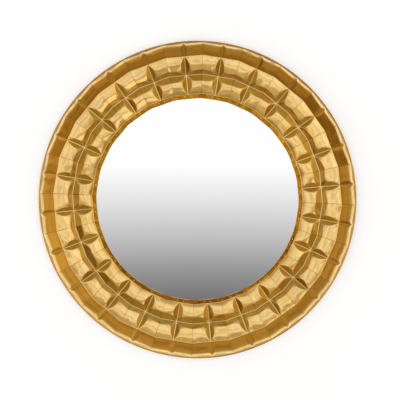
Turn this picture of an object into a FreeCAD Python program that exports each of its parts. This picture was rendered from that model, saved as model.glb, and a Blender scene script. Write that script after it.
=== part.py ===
import FreeCAD, Part
import math
import os
import Sketcher

# Round convex wall mirror in a frame of 24 mitred, fluted brass panels, each pressed over a
# carved wooden core. Millimetres; +Z is up, the wall is the plane y = 0 and the mirror faces -Y.
# A height is a distance from the wall, so it is measured along -Y. The origin is the middle of
# the mirror, on the wall.

V = FreeCAD.Vector
FRONT = V(0, -1, 0)

SIZES = {
    # the ring as a whole
    "outer_radius": 450.0,
    "panel_count": 24,
    "panels_per_core": 2,
    "first_panel_angle": 5.4,
    # the panel's section at the mitres: heights from the wall, widths towards the rim; the
    # three flutes share the room between lip and rim edge as their parts say
    "sight_radius": 283.4,
    "sight_height": 48.0,
    "lip_width": 11.1,
    "inner_crest_height": 70.0,
    "inner_flute_part": 53.6,
    "middle_crest_height": 79.0,
    "middle_flute_part": 55.1,
    "outer_crest_height": 65.0,
    "outer_flute_part": 41.2,
    "rim_edge_height": 24.0,
    "rim_setback": 5.6,
    # hollow of each flute, and the raised fold that crosses all three
    "outer_flute_depth": 5.5,
    "middle_flute_depth": 9.5,
    "inner_flute_depth": 8.2,
    "fold_slope": 33.0,
    "fold_root": 3.0,
    "ear_half_width": 11.0,
    "ear_reach": 3.6,
    "ear_thickness": 2.0,
    # brass sheet and the seams between the panels
    "sheet_thickness": 1.0,
    "panel_seam": 0.2,
    "core_clearance": 0.2,
    "seat_gap": 0.3,
    "cutter_overrun": 45.0,
    # back ring, rim band and bumpers
    "bumper_height": 8.0,
    "bumper_radius": 15.0,
    "bumper_inset": 25.0,
    "bumper_angle": 45.0,
    "back_ring_thickness": 12.0,
    "band_draft": 4.4,
    "band_thickness": 1.0,
    "flange_width": 22.0,
    # mirror glass, its packing and the back board
    "glass_lap": 16.6,
    "glass_rise": 30.0,
    "glass_thickness": 4.0,
    "glass_side_gap": 3.0,
    "packing_width": 13.0,
    "board_ledge": 16.0,
    "board_thickness": 5.0,
    # screws that hold the core to the back ring
    "frame_screw_margin": 26.0,
    "frame_screw_radius": 2.2,
    "frame_screw_head_radius": 4.4,
    "frame_screw_length": 38.0,
    # screws that hold the back board
    "board_screw_count": 8,
    "board_screw_radius": 1.7,
    "board_screw_head_radius": 3.4,
    "board_screw_length": 11.0,
    "hole_clearance": 0.15,
    # pins that hold the panels' lips
    "pin_radius": 0.7,
    "pin_head_radius": 2.0,
    "pin_head_height": 0.9,
    "pin_crown_radius": 1.1,
    "pin_head_clearance": 0.05,
    "pin_length": 9.0,
    "pin_spacing": 17.0,
    "pin_height": 60.0,
    # hanger straps and rings
    "hanger_across": 300.0,
    "hanger_height": 230.0,
    "strap_width": 18.0,
    "strap_length": 46.0,
    "strap_thickness": 1.5,
    "wire_radius": 1.75,
    "wire_clearance": 0.3,
    "ring_inner_width": 21.0,
    "ring_inner_height": 16.0,
    "ring_corner_radius": 4.0,
    "strap_screw_first": 11.0,
    "strap_screw_second": 36.0,
    "strap_screw_radius": 2.0,
    "strap_screw_head_radius": 3.8,
    "strap_screw_head_height": 1.6,
    "strap_screw_crown_radius": 2.66,
    "strap_screw_length": 11.0,
}

# The three flutes from the rim inward, each with the crests at its outer and inner end.
FLUTES = {
    "outer_flute": ("rim_edge", "outer_crest"),
    "middle_flute": ("outer_crest", "middle_crest"),
    "inner_flute": ("middle_crest", "inner_crest"),
}

doc = FreeCAD.newDocument("ConvexMirror")


def fill_sheet(name, cells):
    """A sheet of named cells: plain numbers or formulas, one to a row."""
    page = doc.addObject("Spreadsheet::Sheet", name)
    for row, (word, content) in enumerate(cells.items(), start=1):
        page.set("A%d" % row, word)
        page.set("B%d" % row, str(content))
        page.setAlias("B%d" % row, word)
    return page


def section_places():
    """Formulas for the places that follow from the driving sizes."""
    cells = {
        "half_turn": "=180 / Sizes.panel_count",
        "side_factor": "=cos(half_turn * 1 deg)",
        "mitre_slope": "=tan(half_turn * 1 deg)",
    }
    # radii of the crests at the mitres, from the sight edge and the rim inward
    cells["inner_crest_radius"] = "=Sizes.sight_radius + Sizes.lip_width"
    cells["rim_edge_radius"] = "=Sizes.outer_radius - Sizes.rim_setback"
    cells["flute_share"] = (
        "=(rim_edge_radius - inner_crest_radius)"
        " / (Sizes.inner_flute_part + Sizes.middle_flute_part + Sizes.outer_flute_part)")
    cells["middle_crest_radius"] = "=inner_crest_radius + flute_share * Sizes.inner_flute_part"
    cells["outer_crest_radius"] = "=middle_crest_radius + flute_share * Sizes.middle_flute_part"
    for crest in ("rim_edge", "outer_crest", "middle_crest", "inner_crest"):
        cells[crest + "_place"] = "=%s_radius * side_factor" % crest
    for flute, (outer, inner) in FLUTES.items():
        run = "(%s_place - %s_place)" % (outer, inner)
        rise = "(Sizes.%s_height - Sizes.%s_height)" % (inner, outer)
        words = {"f": flute, "run": run, "rise": rise, "o": outer, "i": inner}
        cells[flute + "_chord"] = "=sqrt(%(run)s * %(run)s + %(rise)s * %(rise)s)" % words
        cells[flute + "_bend"] = (
            "=(%(f)s_chord * %(f)s_chord / 4 + Sizes.%(f)s_depth * Sizes.%(f)s_depth)"
            " / (2 * Sizes.%(f)s_depth)" % words)
        cells[flute + "_across"] = (
            "=(%(o)s_place + %(i)s_place) / 2"
            " + %(rise)s / %(f)s_chord * (%(f)s_bend - Sizes.%(f)s_depth)" % words)
        cells[flute + "_above"] = (
            "=(Sizes.%(o)s_height + Sizes.%(i)s_height) / 2"
            " + %(run)s / %(f)s_chord * (%(f)s_bend - Sizes.%(f)s_depth)" % words)
        cells[flute + "_tilt"] = "=%(rise)s / %(run)s" % words
        cells[flute + "_fall"] = (
            "=tan(Sizes.fold_slope * 1 deg) * %(f)s_chord / %(run)s" % words)
        cells[flute + "_lowering"] = (
            "=sqrt(1 + %(f)s_tilt * %(f)s_tilt + %(f)s_fall * %(f)s_fall)" % words)
    cells["lip_run"] = "=inner_crest_place - Sizes.sight_radius"
    cells["lip_rise"] = "=Sizes.inner_crest_height - Sizes.sight_height"
    cells["lip_side"] = "=sqrt(lip_run * lip_run + lip_rise * lip_rise) / lip_rise"
    # levels of the back ring, its flange and the back board
    cells["core_base"] = "=Sizes.bumper_height + Sizes.back_ring_thickness"
    cells["flange_top"] = "=core_base + Sizes.band_thickness"
    cells["hem_base"] = "=flange_top + Sizes.core_clearance"
    cells["board_front"] = "=Sizes.bumper_height + Sizes.board_thickness"
    cells["glass_radius"] = "=Sizes.sight_radius + Sizes.glass_lap"
    cells["pocket_radius"] = "=glass_radius + Sizes.glass_side_gap"
    cells["board_recess_radius"] = "=pocket_radius + Sizes.board_ledge"
    cells["frame_screw_circle"] = "=board_recess_radius + Sizes.frame_screw_margin"
    cells["bumper_circle"] = "=Sizes.outer_radius - Sizes.bumper_inset - Sizes.bumper_radius"
    cells["core_offset"] = "=Sizes.sheet_thickness + Sizes.core_clearance"
    cells["band_top_radius"] = "=Sizes.outer_radius - Sizes.band_draft"
    cells["flange_inner_radius"] = "=band_top_radius - Sizes.flange_width"
    # the glass: front and back spheres about one centre on the axis
    cells["glass_bend"] = (
        "=(glass_radius * glass_radius + Sizes.glass_rise * Sizes.glass_rise)"
        " / (2 * Sizes.glass_rise)")
    cells["glass_centre"] = (
        "=Sizes.sight_height - Sizes.seat_gap"
        " - sqrt(glass_bend * glass_bend - Sizes.sight_radius * Sizes.sight_radius)")
    cells["glass_back_bend"] = "=glass_bend - Sizes.glass_thickness"
    cells["glass_back_edge"] = (
        "=glass_centre"
        " + sqrt(glass_back_bend * glass_back_bend - glass_radius * glass_radius)")
    # lip pins: on the slope of the lip, square to it
    cells["pin_place"] = (
        "=Sizes.sight_radius + lip_run * (Sizes.pin_height - Sizes.sight_height) / lip_rise")
    cells["pin_swing"] = "=asin(Sizes.pin_spacing / 2 / pin_place)"
    # hangers: the wire's axis stands off the back ring by the curl's outer radius
    cells["curl_bore"] = "=Sizes.wire_radius + Sizes.wire_clearance"
    cells["curl_radius"] = "=curl_bore + Sizes.strap_thickness"
    cells["hinge_height"] = "=Sizes.bumper_height - curl_radius"
    cells["ring_half_bar"] = "=Sizes.ring_inner_width / 2 + Sizes.wire_radius"
    cells["ring_reach"] = "=Sizes.ring_inner_height + 2 * Sizes.wire_radius"
    return cells


fill_sheet("Sizes", SIZES)
places = fill_sheet("Places", section_places())
doc.recompute()

WHOLE = {}


def value(text):
    """What a formula on the sheets comes to now."""
    return float(places.evalExpression(text))


# ---------------------------------------------------------------- bodies and sketches

def new_body(name):
    body = doc.addObject("PartDesign::Body", name)
    body.Label = name
    body.AllowCompound = True
    return body


def sketch_on(body, role, name, offset=None):
    """A sketch on one of the body's own origin planes, moved along its normal by offset."""
    plane = [item for item in body.Origin.OriginFeatures if item.Role == role][0]
    sketch = body.newObject("Sketcher::SketchObject", name)
    sketch.AttachmentSupport = [(plane, "")]
    sketch.MapMode = "FlatFace"
    if offset is not None:
        sketch.setExpression("AttachmentOffset.Base.z", offset)
    return sketch


def bind(sketch, constraint, formula):
    index = sketch.addConstraint(constraint)
    label = "size_%d" % index
    sketch.renameConstraint(index, label)
    sketch.setExpression("Constraints." + label, formula)


def pin_along(sketch, kind, axis, geometry, end, formula):
    """Fix one coordinate of a point to a formula, whichever side of the origin it is on."""
    amount = value(formula)
    if abs(amount) < 1e-9:
        sketch.addConstraint(Sketcher.Constraint("PointOnObject", geometry, end, axis))
    elif amount > 0:
        bind(sketch, Sketcher.Constraint(kind, -1, 1, geometry, end, amount), formula)
    else:
        bind(sketch, Sketcher.Constraint(kind, geometry, end, -1, 1, -amount), "-(%s)" % formula)


def pin_point(sketch, geometry, end, across, up):
    pin_along(sketch, "DistanceX", -2, geometry, end, across)
    pin_along(sketch, "DistanceY", -1, geometry, end, up)


def add_polygon(sketch, corners):
    """A closed outline of straight sides through corners given as pairs of formulas."""
    points = [V(value(across), value(up), 0) for across, up in corners]
    first = sketch.GeometryCount
    count = len(points)
    for index in range(count):
        sketch.addGeometry(Part.LineSegment(points[index], points[(index + 1) % count]), False)
    for index in range(count):
        here = first + index
        following = first + (index + 1) % count
        sketch.addConstraint(Sketcher.Constraint("Coincident", here, 2, following, 1))
    for index, (across, up) in enumerate(corners):
        pin_point(sketch, first + index, 1, across, up)


def add_circle(sketch, across, up, radius):
    centre = V(value(across), value(up), 0)
    index = sketch.addGeometry(Part.Circle(centre, V(0, 0, 1), value(radius)), False)
    if abs(centre.x) < 1e-9 and abs(centre.y) < 1e-9:
        sketch.addConstraint(Sketcher.Constraint("Coincident", index, 3, -1, 1))
    else:
        pin_point(sketch, index, 3, across, up)
    bind(sketch, Sketcher.Constraint("Radius", index, value(radius)), radius)


def pad(body, sketch, length, name, both_ways=False, backwards=False):
    feature = body.newObject("PartDesign::Pad", name)
    feature.Profile = sketch
    feature.setExpression("Length", length)
    feature.Midplane = both_ways
    feature.Reversed = backwards
    return feature


def pocket(body, sketch, name, length=None):
    """A cut towards the front from the sketch, or right through both ways without a length."""
    feature = body.newObject("PartDesign::Pocket", name)
    feature.Profile = sketch
    if length is None:
        feature.Type = "ThroughAll"
        feature.Midplane = True
    else:
        feature.setExpression("Length", length)
        feature.Reversed = True
    return feature


def turn(body, kind, sketch, name):
    """A Revolution or Groove of the sketch about the mirror's own axis."""
    axis = [item for item in body.Origin.OriginFeatures if item.Role == "Y_Axis"][0]
    feature = body.newObject("PartDesign::" + kind, name)
    feature.Profile = sketch
    feature.ReferenceAxis = (axis, [""])
    feature.Angle = 360
    return feature


def pattern(body, features, name, count):
    """Repeat features round the mirror's axis."""
    axis = [item for item in body.Origin.OriginFeatures if item.Role == "Y_Axis"][0]
    feature = body.newObject("PartDesign::PolarPattern", name)
    feature.Originals = features
    feature.Axis = (axis, [""])
    feature.Angle = 360
    feature.setExpression("Occurrences", count)
    body.Tip = feature
    return feature


def keep(item, name):
    """Name a finished sub-part and put it on the list to write."""
    item.Label = name
    WHOLE[name] = item


# ---------------------------------------------------------------- one segment's fluted form

def add_flutes(sketch, offset, base):
    """The section of one segment, drawn in by offset: rim edge, three flutes, top land."""
    low = value("-(%s)" % base)
    land = value("-(Sizes.inner_crest_height - %s)" % offset)
    wall = value("Places.rim_edge_place - %s" % offset)
    inside = value("Sizes.sight_radius * Places.side_factor - Sizes.seat_gap")
    ends = [V(wall, value("-Sizes.rim_edge_height"), 0)]
    for crest in ("outer_crest", "middle_crest", "inner_crest"):
        height = value("-(Sizes.%s_height - %s)" % (crest, offset))
        ends.append(V(value("Places.%s_place" % crest), height, 0))
    sketch.addGeometry(Part.LineSegment(V(wall, low, 0), ends[0]), False)
    for number, flute in enumerate(FLUTES):
        centre = V(value("Places.%s_across" % flute), value("-Places.%s_above" % flute), 0)
        radius = value("Places.%s_bend + %s" % (flute, offset))
        start = ends[number] - centre
        finish = ends[number + 1] - centre
        from_angle = V(1, 0, 0).getAngle(start) * (1 if start.y >= 0 else -1)
        to_angle = V(1, 0, 0).getAngle(finish) * (1 if finish.y >= 0 else -1)
        circle = Part.Circle(centre, V(0, 0, 1), radius)
        sketch.addGeometry(Part.ArcOfCircle(circle, from_angle, to_angle), False)
    sketch.addGeometry(Part.LineSegment(ends[3], V(inside, land, 0)), False)
    sketch.addGeometry(Part.LineSegment(V(inside, land, 0), V(inside, low, 0)), False)
    sketch.addGeometry(Part.LineSegment(V(inside, low, 0), V(wall, low, 0)), False)
    joints = [(0, 2, 1, 1), (1, 2, 2, 1), (2, 2, 3, 1), (3, 2, 4, 1), (4, 2, 5, 1), (5, 2, 6, 1),
              (6, 2, 0, 1)]
    for joint in joints:
        sketch.addConstraint(Sketcher.Constraint("Coincident", *joint))
    for line, direction in ((0, "Vertical"), (4, "Horizontal"), (5, "Vertical"), (6, "Horizontal")):
        sketch.addConstraint(Sketcher.Constraint(direction, line))
    for number, flute in enumerate(FLUTES, start=1):
        pin_point(sketch, number, 3, "Places.%s_across" % flute, "-Places.%s_above" % flute)
        radius = "Places.%s_bend + %s" % (flute, offset)
        bind(sketch, Sketcher.Constraint("Radius", number, value(radius)), radius)
    pin_point(sketch, 0, 1, "Places.rim_edge_place - %s" % offset, "-(%s)" % base)
    pin_point(sketch, 4, 2, "Sizes.sight_radius * Places.side_factor - Sizes.seat_gap",
              "-(Sizes.inner_crest_height - %s)" % offset)


def add_fold(body, flute, offset):
    """The roof-shaped fold over one flute: its ridge runs straight from crest to crest."""
    outer, inner = FLUTES[flute]
    names = {"f": "Places." + flute, "o": offset, "depth": "Sizes.%s_depth" % flute}
    start = "Places.%s_place + %s" % (inner, offset)
    ridge = "Sizes.%s_height - %s * (%s_tilt + %s_lowering)" % (
        inner, offset, names["f"], names["f"])
    drop = "(%(depth)s * sqrt(1 + %(f)s_tilt * %(f)s_tilt) + Sizes.fold_root)" % names
    foot = "-(%s) + %s" % (ridge, drop)
    reach = "%s / %s_fall" % (drop, names["f"])
    sketch = sketch_on(body, "YZ_Plane", flute + "_fold_section", start)
    add_polygon(sketch, [("-(%s)" % ridge, "0 * %s" % offset), (foot, reach), (foot, "-" + reach)])
    length = "Places.%s_place - Places.%s_place - 2 * %s" % (outer, inner, offset)
    feature = pad(body, sketch, length, flute + "_fold")
    feature.UseCustomVector = True
    feature.AlongSketchNormal = True
    feature.Direction = V(1, value("Places.%s_tilt" % flute), 0)
    feature.setExpression("Direction.y", "Places.%s_tilt" % flute)


def cut_opening(body, offset, base):
    """The lip's cone down to the sight edge, the glass pocket, and what hangs below the base."""
    beyond = "Sizes.outer_radius + Sizes.cutter_overrun"
    above = "Sizes.middle_crest_height"
    shift = "%s * Places.lip_side" % offset
    top = ("Places.inner_crest_place + %s + Places.lip_run * (%s - Sizes.inner_crest_height)"
           " / Places.lip_rise" % (shift, above))
    sketch = sketch_on(body, "XY_Plane", "opening_section")
    add_polygon(sketch, [
        ("0 * Places.pocket_radius", "0 * Places.core_base"),
        (beyond, "0 * Places.core_base"),
        (beyond, "-(%s)" % base),
        ("Places.pocket_radius", "-(%s)" % base),
        ("Places.pocket_radius", "-Sizes.sight_height"),
        ("Sizes.sight_radius + " + shift, "-Sizes.sight_height"),
        (top, "-(%s)" % above),
        ("0 * Places.pocket_radius", "-(%s)" % above)])
    turn(body, "Groove", sketch, "opening")


def cut_mitres(body, seam):
    """Trim both ends of the strip to the mitre planes, less half of the seam."""
    near = "Sizes.sight_radius * Places.side_factor - Sizes.cutter_overrun"
    far = "Sizes.outer_radius + Sizes.cutter_overrun"
    beyond = "2 * (%s) * Places.mitre_slope" % far
    edge = "(%s) * Places.mitre_slope - " + seam + " / 2 / Places.side_factor"
    sketch = sketch_on(body, "XZ_Plane", "mitre_outline")
    for sign in ("", "-"):
        add_polygon(sketch, [
            (near, "%s(%s)" % (sign, edge % near)),
            (far, "%s(%s)" % (sign, edge % far)),
            (far, "%s(%s)" % (sign, beyond)),
            (near, "%s(%s)" % (sign, beyond))])
    pocket(body, sketch, "mitres")


def segment_form(name, offset, base, seam=None):
    """The solid form of one segment, drawn in by offset; without a seam its ends stay long."""
    body = new_body(name)
    sketch = sketch_on(body, "XY_Plane", "section")
    add_flutes(sketch, offset, base)
    length = "2 * (Sizes.outer_radius + Sizes.cutter_overrun) * Places.mitre_slope"
    pad(body, sketch, length, "flutes", both_ways=True)
    for flute in FLUTES:
        add_fold(body, flute, offset)
    cut_opening(body, offset, base)
    if seam is not None:
        cut_mitres(body, seam)
    return body


def add_ear(body):
    """The flat pointed tip at the outer end of the fold."""
    sketch = sketch_on(body, "XZ_Plane", "ear_outline", "Sizes.rim_edge_height")
    add_polygon(sketch, [
        ("Places.rim_edge_place - Sizes.sheet_thickness", "Sizes.ear_half_width"),
        ("Places.rim_edge_place - Sizes.sheet_thickness", "-Sizes.ear_half_width"),
        ("Places.rim_edge_place + Sizes.ear_reach", "0 * Sizes.ear_reach")])
    pad(body, sketch, "Sizes.ear_thickness", "ear", backwards=True)


def pin_hole(name, side):
    """The bore of one lip pin, square to the lip; side is +1 or -1 from the fold."""
    hole = doc.addObject("Part::Cylinder", name)
    hole.setExpression("Radius", "Sizes.pin_radius + Sizes.hole_clearance")
    hole.setExpression("Height", "Sizes.pin_length + Sizes.pin_head_height")
    place_pin(hole, side, "Sizes.pin_head_height")
    return hole


def place_pin(item, side, outward):
    """Stand a pin's own Z along the inward normal of the lip, its foot out from the lip."""
    swing = value("Places.pin_swing") * side
    lean = value("-atan2(Places.lip_run; Places.lip_rise)")
    into = FreeCAD.Rotation(V(0, 1, 0), 90).multiply(FreeCAD.Rotation(V(1, 0, 0), lean))
    face = into.multVec(V(0, 0, 1))
    foot = V(value("Places.pin_place"), value("-Sizes.pin_height"), 0)
    foot = foot - face * value(outward)
    about = FreeCAD.Rotation(FRONT, swing)
    item.Placement = FreeCAD.Placement(about.multVec(foot), about.multiply(into))


# ---------------------------------------------------------------- panels and core blocks

def ring_turn(angle):
    """A turn about the mirror's axis, counter-clockwise as seen from the front."""
    return FreeCAD.Placement(V(0, 0, 0), FreeCAD.Rotation(FRONT, angle))


def set_round(item, formula):
    """Turn an item about the mirror's axis by a formula in degrees."""
    item.Placement = ring_turn(value(formula))
    item.setExpression("Placement.Rotation.Angle", "(%s) * 1 deg" % formula)


def set_at(item, across, up, front):
    """Bind an item's place: across, up, and its height from the wall."""
    item.setExpression("Placement.Base.x", across)
    item.setExpression("Placement.Base.y", "-(%s)" % front)
    item.setExpression("Placement.Base.z", up)


def make_panels():
    """The brass panels: the outer form less the same form drawn in by the sheet."""
    outside = segment_form("panel_outside", "0", "Places.hem_base", "Sizes.panel_seam")
    add_ear(outside)
    inside = segment_form("panel_inside", "Sizes.sheet_thickness", "Places.core_base")
    tool = doc.addObject("Part::MultiFuse", "panel_hollow")
    tool.Shapes = [inside, pin_hole("pin_hole_a", 1), pin_hole("pin_hole_b", -1)]
    count = int(value("Sizes.panel_count"))
    for number in range(count):
        name = "cladding_panel_%02d" % (number + 1)
        panel = doc.addObject("Part::Cut", name)
        panel.Base = outside
        panel.Tool = tool
        set_round(panel, "Sizes.first_panel_angle + %d * 2 * Places.half_turn" % number)
        keep(panel, name)


def core_form(name, side):
    """The carved wood under one panel, with the bores that its screw and pins need."""
    body = segment_form(name, "Places.core_offset", "Places.core_base", "0 * Sizes.panel_seam")
    rebate = sketch_on(body, "XY_Plane", "flange_rebate_section")
    inner = "Places.flange_inner_radius - Sizes.seat_gap"
    add_polygon(rebate, [
        (inner, "-(Places.core_base - Sizes.seat_gap)"),
        ("Sizes.outer_radius", "-(Places.core_base - Sizes.seat_gap)"),
        ("Sizes.outer_radius", "-(Places.flange_top + Sizes.core_clearance)"),
        (inner, "-(Places.flange_top + Sizes.core_clearance)")])
    turn(body, "Groove", rebate, "flange_rebate")
    bore = sketch_on(body, "XZ_Plane", "screw_bore_outline", "Places.core_base")
    add_circle(bore, "Places.frame_screw_circle", "0 * Places.frame_screw_circle",
               "Sizes.frame_screw_radius + Sizes.hole_clearance")
    pocket(body, bore, "screw_bore",
           "Sizes.frame_screw_length - Sizes.back_ring_thickness + Sizes.seat_gap")
    drilled = doc.addObject("Part::Cut", name + "_drilled")
    holes = doc.addObject("Part::Compound", name + "_pin_holes")
    holes.Links = [pin_hole(name + "_pin_a", 1), pin_hole(name + "_pin_b", -1)]
    drilled.Base = body
    drilled.Tool = holes
    set_round(drilled, "Places.half_turn * %d" % side)
    return drilled


def make_core_blocks():
    """The core is glued up from blocks, each carved to carry two panels."""
    left = core_form("core_form_a", -1)
    right = core_form("core_form_b", 1)
    count = int(value("Sizes.panel_count / Sizes.panels_per_core"))
    for number in range(count):
        name = "core_block_%02d" % (number + 1)
        block = doc.addObject("Part::Fuse", name)
        block.Base = left
        block.Tool = right
        block.Refine = True
        set_round(block, "Sizes.first_panel_angle + (1 + %d * 2 * Sizes.panels_per_core)"
                  " * Places.half_turn" % number)
        keep(block, name)


# ---------------------------------------------------------------- turned parts

def make_back_ring():
    """The plywood ring: rebated for the back board, bored for every screw."""
    body = new_body("back_ring")
    sketch = sketch_on(body, "XY_Plane", "section")
    shrink = "(Sizes.band_thickness + Sizes.core_clearance)"
    add_polygon(sketch, [
        ("Places.board_recess_radius", "-Sizes.bumper_height"),
        ("Sizes.outer_radius - " + shrink, "-Sizes.bumper_height"),
        ("Places.band_top_radius - " + shrink, "-Places.core_base"),
        ("Places.pocket_radius", "-Places.core_base"),
        ("Places.pocket_radius", "-Places.board_front"),
        ("Places.board_recess_radius", "-Places.board_front")])
    turn(body, "Revolution", sketch, "ring")
    add_bores(body, "frame_screw", "Places.frame_screw_circle", "Sizes.panel_count",
              "Sizes.back_ring_thickness")
    add_bores(body, "board_screw", "Places.pocket_radius + Sizes.board_ledge / 2",
              "Sizes.board_screw_count", "Sizes.board_screw_length + Sizes.seat_gap",
              countersunk=False)
    for side in (-1, 1):
        for number, drop in enumerate(("first", "second")):
            pilot = sketch_on(body, "XZ_Plane", "strap_pilot_%d_%d" % (side, number),
                              "Sizes.bumper_height")
            add_circle(pilot, "%d * Sizes.hanger_across" % side,
                       "Sizes.hanger_height - Sizes.strap_screw_" + drop,
                       "Sizes.strap_screw_radius + Sizes.hole_clearance")
            pocket(body, pilot, "strap_bore_%d_%d" % (side, number),
                   "Sizes.strap_screw_length - Sizes.strap_thickness + Sizes.seat_gap")
    keep(body, "back_ring")


def add_bores(body, screw, circle, count, depth, countersunk=True):
    """A ring of screw bores from the back, each with a countersink if the head sits here."""
    start = sketch_on(body, "XZ_Plane", screw + "_bore_outline", "Sizes.bumper_height")
    turned = bore_turn(screw)
    add_circle(start, "(%s) * cos(%s)" % (circle, turned), "(%s) * sin(%s)" % (circle, turned),
               "Sizes.%s_radius + Sizes.hole_clearance" % screw)
    features = [pocket(body, start, screw + "_bore", depth)]
    if countersunk:
        sink = sketch_on(body, "XZ_Plane", screw + "_sink_outline", "Sizes.bumper_height")
        add_circle(sink, "(%s) * cos(%s)" % (circle, turned), "(%s) * sin(%s)" % (circle, turned),
                   "Sizes.%s_head_radius + Sizes.hole_clearance" % screw)
        cone = pocket(body, sink, screw + "_sink",
                      "Sizes.%s_head_radius - Sizes.%s_radius" % (screw, screw))
        cone.TaperAngle = -45
        features.append(cone)
    pattern(body, features, screw + "_bores", count)


def bore_turn(screw):
    """The first frame screw stands under the first fold; the first board screw at 3 o'clock."""
    if screw == "frame_screw":
        return "Sizes.first_panel_angle * 1 deg"
    return "0 deg"


def make_rim_band():
    """The brass band round the edge, drawn in towards the front, with a flange turned inward."""
    body = new_body("rim_band")
    sketch = sketch_on(body, "XY_Plane", "section")
    sheet = "Sizes.band_thickness"
    add_polygon(sketch, [
        ("Sizes.outer_radius", "-Sizes.bumper_height"),
        ("Places.band_top_radius", "-Places.flange_top"),
        ("Places.flange_inner_radius", "-Places.flange_top"),
        ("Places.flange_inner_radius", "-Places.core_base"),
        ("Places.band_top_radius - " + sheet, "-Places.core_base"),
        ("Sizes.outer_radius - " + sheet, "-Sizes.bumper_height")])
    turn(body, "Revolution", sketch, "band")
    keep(body, "rim_band")


def make_glass():
    """The convex mirror: two spheres about one centre, with a square edge."""
    body = new_body("convex_mirror_glass")
    sketch = sketch_on(body, "XY_Plane", "section")
    centre = V(0, value("-Places.glass_centre"), 0)
    radius = value("Places.glass_radius")
    edges = []
    for number, bend in enumerate(("Places.glass_bend", "Places.glass_back_bend")):
        circle = Part.Circle(centre, V(0, 0, 1), value(bend))
        rim = V(radius, centre.y - (value(bend) ** 2 - radius ** 2) ** 0.5, 0)
        edges.append(rim)
        top = -V(1, 0, 0).getAngle(V(0, -1, 0))
        side = -V(1, 0, 0).getAngle(rim - centre)
        sketch.addGeometry(Part.ArcOfCircle(circle, top, side), False)
        bind(sketch, Sketcher.Constraint("Radius", number, value(bend)), bend)
    apexes = [V(0, centre.y - value("Places." + bend), 0)
              for bend in ("glass_bend", "glass_back_bend")]
    sketch.addGeometry(Part.LineSegment(edges[0], edges[1]), False)
    sketch.addGeometry(Part.LineSegment(apexes[1], apexes[0]), False)
    for joint in ((0, 2, 2, 1), (2, 2, 1, 2), (1, 1, 3, 1), (3, 2, 0, 1), (0, 3, 1, 3)):
        sketch.addConstraint(Sketcher.Constraint("Coincident", *joint))
    sketch.addConstraint(Sketcher.Constraint("Vertical", 2))
    sketch.addConstraint(Sketcher.Constraint("PointOnObject", 3, 1, -2))
    sketch.addConstraint(Sketcher.Constraint("PointOnObject", 3, 2, -2))
    pin_point(sketch, 0, 3, "0 * Places.glass_radius", "-Places.glass_centre")
    pin_along(sketch, "DistanceX", -2, 2, 1, "Places.glass_radius")
    turn(body, "Revolution", sketch, "shell")
    keep(body, "convex_mirror_glass")


def make_packing():
    """The packing ring that holds the edge of the glass off the back board."""
    body = new_body("glass_packing_ring")
    sketch = sketch_on(body, "XY_Plane", "section")
    inner = "Places.glass_radius - Sizes.packing_width"
    add_polygon(sketch, [
        (inner, "-(Places.board_front + Sizes.seat_gap)"),
        ("Places.glass_radius", "-(Places.board_front + Sizes.seat_gap)"),
        ("Places.glass_radius", "-(Places.glass_back_edge - Sizes.seat_gap)"),
        (inner, "-(Places.glass_back_edge - Sizes.seat_gap)")])
    turn(body, "Revolution", sketch, "ring")
    keep(body, "glass_packing_ring")


def make_back_board():
    """The back board: a disc in the back ring's rebate, countersunk for its screws."""
    body = new_body("back_board")
    sketch = sketch_on(body, "XZ_Plane", "outline", "Sizes.bumper_height")
    add_circle(sketch, "0 * Places.glass_radius", "0 * Places.glass_radius",
               "Places.board_recess_radius - Sizes.seat_gap")
    pad(body, sketch, "Sizes.board_thickness", "disc")
    doc.recompute()
    add_bores(body, "board_screw", "Places.pocket_radius + Sizes.board_ledge / 2",
              "Sizes.board_screw_count", "Sizes.board_thickness + Sizes.seat_gap")
    keep(body, "back_board")


# ---------------------------------------------------------------- fasteners and bumpers

def countersunk_screws(name, screw, circle, count):
    """A ring of countersunk wood screws, heads flush with the back."""
    body = new_body(name)
    turned = bore_turn(screw)
    across = "(%s) * cos(%s)" % (circle, turned)
    up = "(%s) * sin(%s)" % (circle, turned)
    shank = sketch_on(body, "XZ_Plane", "shank_outline", "Sizes.bumper_height")
    add_circle(shank, across, up, "Sizes.%s_radius" % screw)
    first = pad(body, shank, "Sizes.%s_length" % screw, "shank")
    head = sketch_on(body, "XZ_Plane", "head_outline", "Sizes.bumper_height")
    add_circle(head, across, up, "Sizes.%s_head_radius" % screw)
    cone = pad(body, head, "Sizes.%s_head_radius - Sizes.%s_radius" % (screw, screw), "head")
    cone.TaperAngle = -45
    pattern(body, [first, cone], "screws", count)
    keep(body, name)


def make_bumpers():
    """Soft discs that stand the frame off the wall."""
    body = new_body("wall_bumpers")
    sketch = sketch_on(body, "XZ_Plane", "outline")
    angle = "Sizes.bumper_angle * 1 deg"
    circle = "Places.bumper_circle"
    add_circle(sketch, "%s * cos(%s)" % (circle, angle), "%s * sin(%s)" % (circle, angle),
               "Sizes.bumper_radius")
    disc = pad(body, sketch, "Sizes.bumper_height", "disc")
    pattern(body, [disc], "discs", "4")
    keep(body, "wall_bumpers")


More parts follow.
